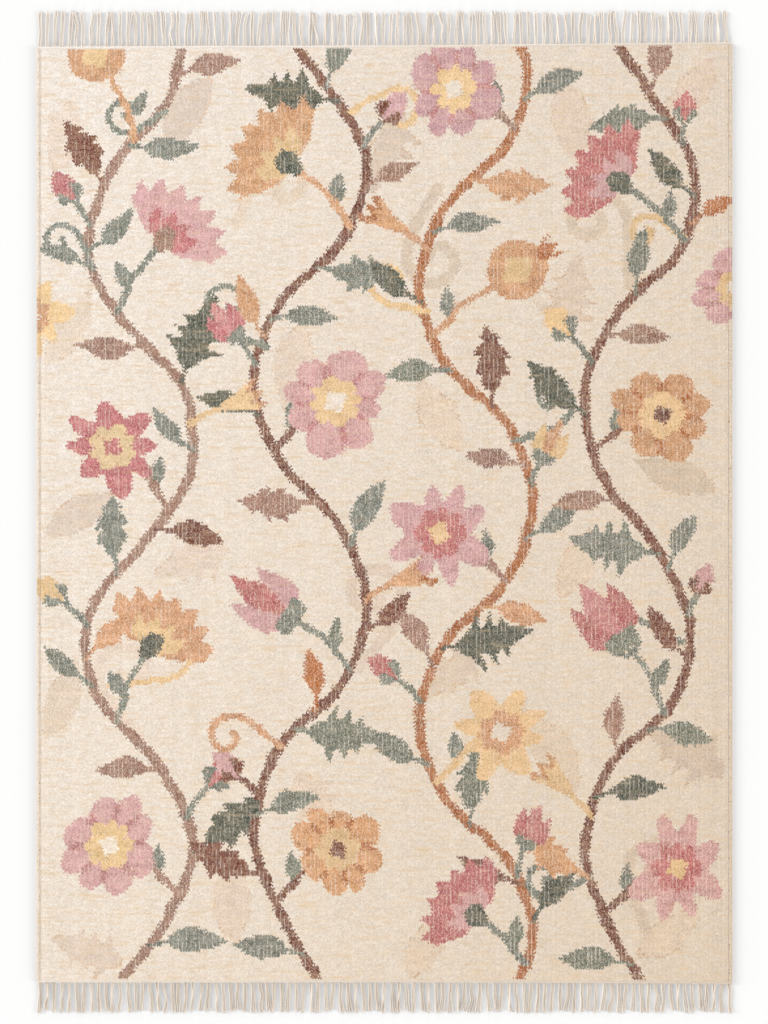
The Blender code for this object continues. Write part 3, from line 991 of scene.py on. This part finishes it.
def woven_wool():
    """Hand-spun wool weft, beaten down so that it all but hides pale cotton warps: matt and soft, a
    column of beads over each warp, heathered, with the warps showing between the dark beads."""
    material, tree, shader = new_material("hand_spun_wool_weft")
    node = partial(add, tree)
    colour = node("VertexColor", layer_name="yarn")
    depth = colour.node.outputs["Alpha"]
    u, v = weave_places(tree)
    # One bead is a warp wide (3 mm) and two picks deep (4.3 mm); odd warps are a pick out of step.
    warp, pick = node("Math FLOOR", u), node("Math FLOOR", v)
    row = node("Math FLOOR", node("Math MULTIPLY", v, 0.5))
    odd = node("Math FLOORED_MODULO", warp, 2.0)
    pair = node("Math MULTIPLY", node("Math ADD", v, odd), 0.5)
    # How far a point is from its bead's middle, from 0 to 1.
    across, along = (
        node("Math MULTIPLY", node("Math ABSOLUTE", node("Math SUBTRACT", node("Math FRACT", x), 0.5)), 2.0)
        for x in (u, pair)
    )
    # Each turn over a warp, and each half of it, has a chance of its own.
    half = node("Math FLOOR", node("Math MULTIPLY", u, 2.0))
    turn, ply = (
        node("TexWhiteNoise", node("CombineXYZ", x, pick), noise_dimensions="2D") for x in (warp, half)
    )
    # The wool's unevenness: what it runs across and its scale, what it runs along and its scale,
    # detail and roughness. Sizes are in mm for warps of 3 mm and picks of 2.15 mm.
    warp_size, pick_size = 1000 * WARP_PITCH, 1000 * PICK_PITCH
    slub, mottle, bare, dye, fibre = (
        node("TexNoise", sockets={
            "Vector": node("CombineXYZ", node("Math MULTIPLY", x, wide), node("Math MULTIPLY", y, deep)),
            "Scale": 1.0, "Detail": detail, "Roughness": rough,
        }, noise_dimensions="2D")
        for x, wide, y, deep, detail, rough in (
            # A row's yarn changes over 7 to 17 cm, and each row is unlike the next.
            (u, warp_size / 83.33, row, 1.7, 2.0, 0.6),
            # The fleece is mottled in patches 2 to 4 cm long.
            (u, warp_size / 25.0, v, pick_size / 8.958, 3.0, 0.6),
            # A warp shows along 2 to 8 cm where the picks are beaten less, each warp unlike the next.
            (warp, 3.7, v, pick_size / 43.0, 2.0, 0.6),
            # The dye took better in some lengths of yarn than in others: areas of 3 to 6 cm.
            (u, warp_size / 42.857, v, pick_size / 21.5, 2.0, 0.5),
            # Fibres and plies within a bead, about 1 mm; drawn at twice their real size so that they show.
            (u, warp_size / 1.875, v, pick_size / 1.7917, 3.0, 0.7),
        )
    )

    # Each turn is lighter or darker by its own share, and each ply more so in the deep colours.
    shade = 1.0
    for field, swing in (
        (turn, 0.25),
        (ply, node("Math MULTIPLY_ADD", depth, 0.60, 0.06)),
        (fibre, 0.30),
        (dye, node("Math MULTIPLY", depth, 0.9)),
        (mottle, -0.13),
    ):
        shade = node("Math MULTIPLY_ADD", node("Math SUBTRACT", field, 0.5), swing, shade)
    # Light that goes deeper into the wool comes out more golden.
    depths = node("CombineXYZ", node("Math POWER", shade, 0.86), shade, node("Math POWER", shade, 1.20))
    spun = node("VectorMath MULTIPLY", colour, depths)
    # Undyed yarn has tan and straw-coloured lengths spun into it.
    straw = node("Math MULTIPLY", node("Math SUBTRACT", slub, 0.55), 3.5, use_clamp=True)
    blotch = node("Math MULTIPLY", node("Math SUBTRACT", mottle, 0.38), 2.6, use_clamp=True)
    straw = node("Math MULTIPLY_ADD", straw, 0.62, node("Math MULTIPLY", blotch, 0.33))
    straw = node("Math MULTIPLY_ADD", node("Math SUBTRACT", dye, 0.5), 0.4, straw)
    straw = node("Math MULTIPLY", straw, node("Math SUBTRACT", 1.1, depth), use_clamp=True)
    spun = node("Mix", sockets={"Factor": straw, 6: spun, 7: (*linear(STRAW_LENGTHS), 1.0)}, data_type="RGBA")
    # The pale warp shows as a dot at the ends of a bead. Every third or fourth warp is slack, and
    # shows as a thin line where it is bare.
    dot = node("Math MULTIPLY", node("Math SUBTRACT", along, 0.50), 3.0, use_clamp=True)
    slack = node("Math COSINE", node("Math MULTIPLY", warp, 2 * math.pi / 3.26))
    line = node("Math SUBTRACT", slack, 0.45)
    line = node("Math MULTIPLY_ADD", node("Math SUBTRACT", bare, 0.5), 4.0, line)
    line = node("Math MULTIPLY", line, 1.2, use_clamp=True)
    shown = node("Math MULTIPLY_ADD", line, 0.52, node("Math MULTIPLY", dot, 0.20))
    shown = node("Math ADD", node("Math SUBTRACT", ply, 0.5), shown, use_clamp=True)
    shown = node("Math MULTIPLY", shown, depth)
    spun = node("Mix", sockets={"Factor": shown, 6: spun, 7: (*linear(PALE_WARP), 1.0)}, data_type="RGBA")

    # Beads stand 0.4 mm proud of the gaps between them.
    dome = node("Math MULTIPLY",
                node("Math SUBTRACT", 1.0, node("Math POWER", across, 2.0)),
                node("Math SUBTRACT", 1.0, node("Math POWER", along, 4.0)))
    height = node("Math MULTIPLY_ADD", fibre, 0.6, dome)
    join(tree, shader, {
        "Base Color": spun,
        "Normal": node("Bump", sockets={"Strength": 0.7, "Distance": 0.0004, "Height": height}),
        "Roughness": 0.9, "IOR": 1.54, "Specular IOR Level": 0.25,
        "Sheen Weight": 0.10, "Sheen Roughness": 0.5,
    })
    return material


def plied_cotton():
    """Undyed cotton warp yarn of two plies, cut and washed: matt, pale, with painted shade in the groove
    between the plies.
    """
    material, tree, shader = new_material("plied_cotton_warp")
    node = partial(add, tree)
    u, v = weave_places(tree)
    # The two plies wind once round for each 7 mm of yarn, with a groove between them.
    plies = 2.0
    turn = node("Math SUBTRACT", node("Math MULTIPLY", u, plies), node("Math MULTIPLY", v, plies))
    turn = node("Math COSINE", node("Math MULTIPLY", turn, 2 * math.pi))
    groove = node("Math POWER", node("Math MULTIPLY_ADD", turn, 0.5, 0.5), 2.0)
    # Fibres run along the yarn: six round it, 3.5 mm long, drawn coarser than they are so that they show.
    fibres_long = 1000 * PLY_PITCH / 3.5
    fibre = node("TexNoise", sockets={
        "Vector": node("CombineXYZ", node("Math MULTIPLY", u, 6.0), node("Math MULTIPLY", v, fibres_long)),
        "Scale": 1.0, "Detail": 3.0, "Roughness": 0.7,
    }, noise_dimensions="2D")
    shade = node("Math MULTIPLY_ADD", fibre, 0.30, 0.87)
    # Painted shade: the colour is darker in the groove between the plies.
    shade = node("Math MULTIPLY_ADD", groove, -0.10, shade)
    height = node("Math SUBTRACT", node("Math MULTIPLY", fibre, 0.5), groove)
    yarn = node("VertexColor", layer_name="yarn")
    join(tree, shader, {
        "Base Color": node("VectorMath SCALE", yarn, sockets={3: shade}),
        "Normal": node("Bump", sockets={"Strength": 0.6, "Distance": 0.0003, "Height": height}),
        "Roughness": 0.85, "IOR": 1.53, "Specular IOR Level": 0.25, "Sheen Weight": 0.10,
    })
    return material


def pale_floor():
    """Studio paper: plain, matt and all but white."""
    material, tree, shader = new_material("matt_paper_floor")
    paper = (*linear(FLOOR_COLOUR), 1.0)
    join(tree, shader, {"Base Color": paper, "Roughness": 0.95, "Specular IOR Level": 0.1})
    return material


def studio():
    """The floor, a pale room with windows on all sides, and the camera straight above the rug."""
    mesh = bpy.data.meshes.new("floor")
    corners = [(-1, -1), (1, -1), (1, 1), (-1, 1)]
    points = [(FLOOR_HALF * x, FLOOR_HALF * y, -FLOOR_DEPTH) for x, y in corners]
    mesh.from_pydata(points, [], [(0, 1, 2, 3)])
    mesh.materials.append(pale_floor())
    floor = bpy.data.objects.new("floor", mesh)
    bpy.context.collection.objects.link(floor)

    world = bpy.data.worlds.new("studio")
    world.use_nodes = True
    sky = {"Color": (*linear(SKY_COLOUR), 1.0), "Strength": SKY_STRENGTH}
    join(world.node_tree, world.node_tree.nodes["Background"], sky)
    bpy.context.scene.world = world

    for side, (bearing, light) in WINDOW_SIDES.items():
        for band, (share, height, width) in WINDOW_BANDS.items():
            lamp = bpy.data.lights.new(f"{side}_{band}_window", "SUN")
            up, turn = math.radians(height), math.radians(bearing)
            lamp.energy = light * share * math.pi / math.sin(up)
            lamp.angle = math.radians(width)
            lamp.color = linear(WINDOW_COLOUR)
            window = bpy.data.objects.new(lamp.name, lamp)
            towards = Vector((math.cos(up) * math.cos(turn), math.cos(up) * math.sin(turn), math.sin(up)))
            window.rotation_euler = towards.to_track_quat("Z", "Y").to_euler()
            bpy.context.collection.objects.link(window)

    camera_data = bpy.data.cameras.new("camera")
    camera_data.sensor_width = SENSOR
    camera_data.lens = SENSOR * (CAMERA_HEIGHT - CLOTH_HEIGHT) / (PHOTO_HEIGHT * PHOTO_PIXEL)
    camera = bpy.data.objects.new("camera", camera_data)
    # The rug lies half a pixel to the right of the photograph's middle.
    camera.location = (-0.5 * PHOTO_PIXEL, 0.0, CAMERA_HEIGHT)
    bpy.context.collection.objects.link(camera)
    bpy.context.scene.camera = camera
    bpy.context.scene.view_settings.view_transform = "Standard"
    bpy.context.scene.view_settings.look = "None"


studio()
wool, cotton = woven_wool(), plied_cotton()
cloth = woven_cloth(cartoon, passes, wool)
far_fringe = fringe(1, 11, FAR_YARN, "far_fringe_strands", cotton)
near_fringe = fringe(-1, 29, NEAR_YARN, "near_fringe_strands", cotton)
for piece, node, slot in (
    (cloth, "cloth", "woven_cloth"),
    (far_fringe, "fringe_far", "warp_cotton"),
    (near_fringe, "fringe_near", "warp_cotton"),
):
    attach(piece, "root")
    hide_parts(node)
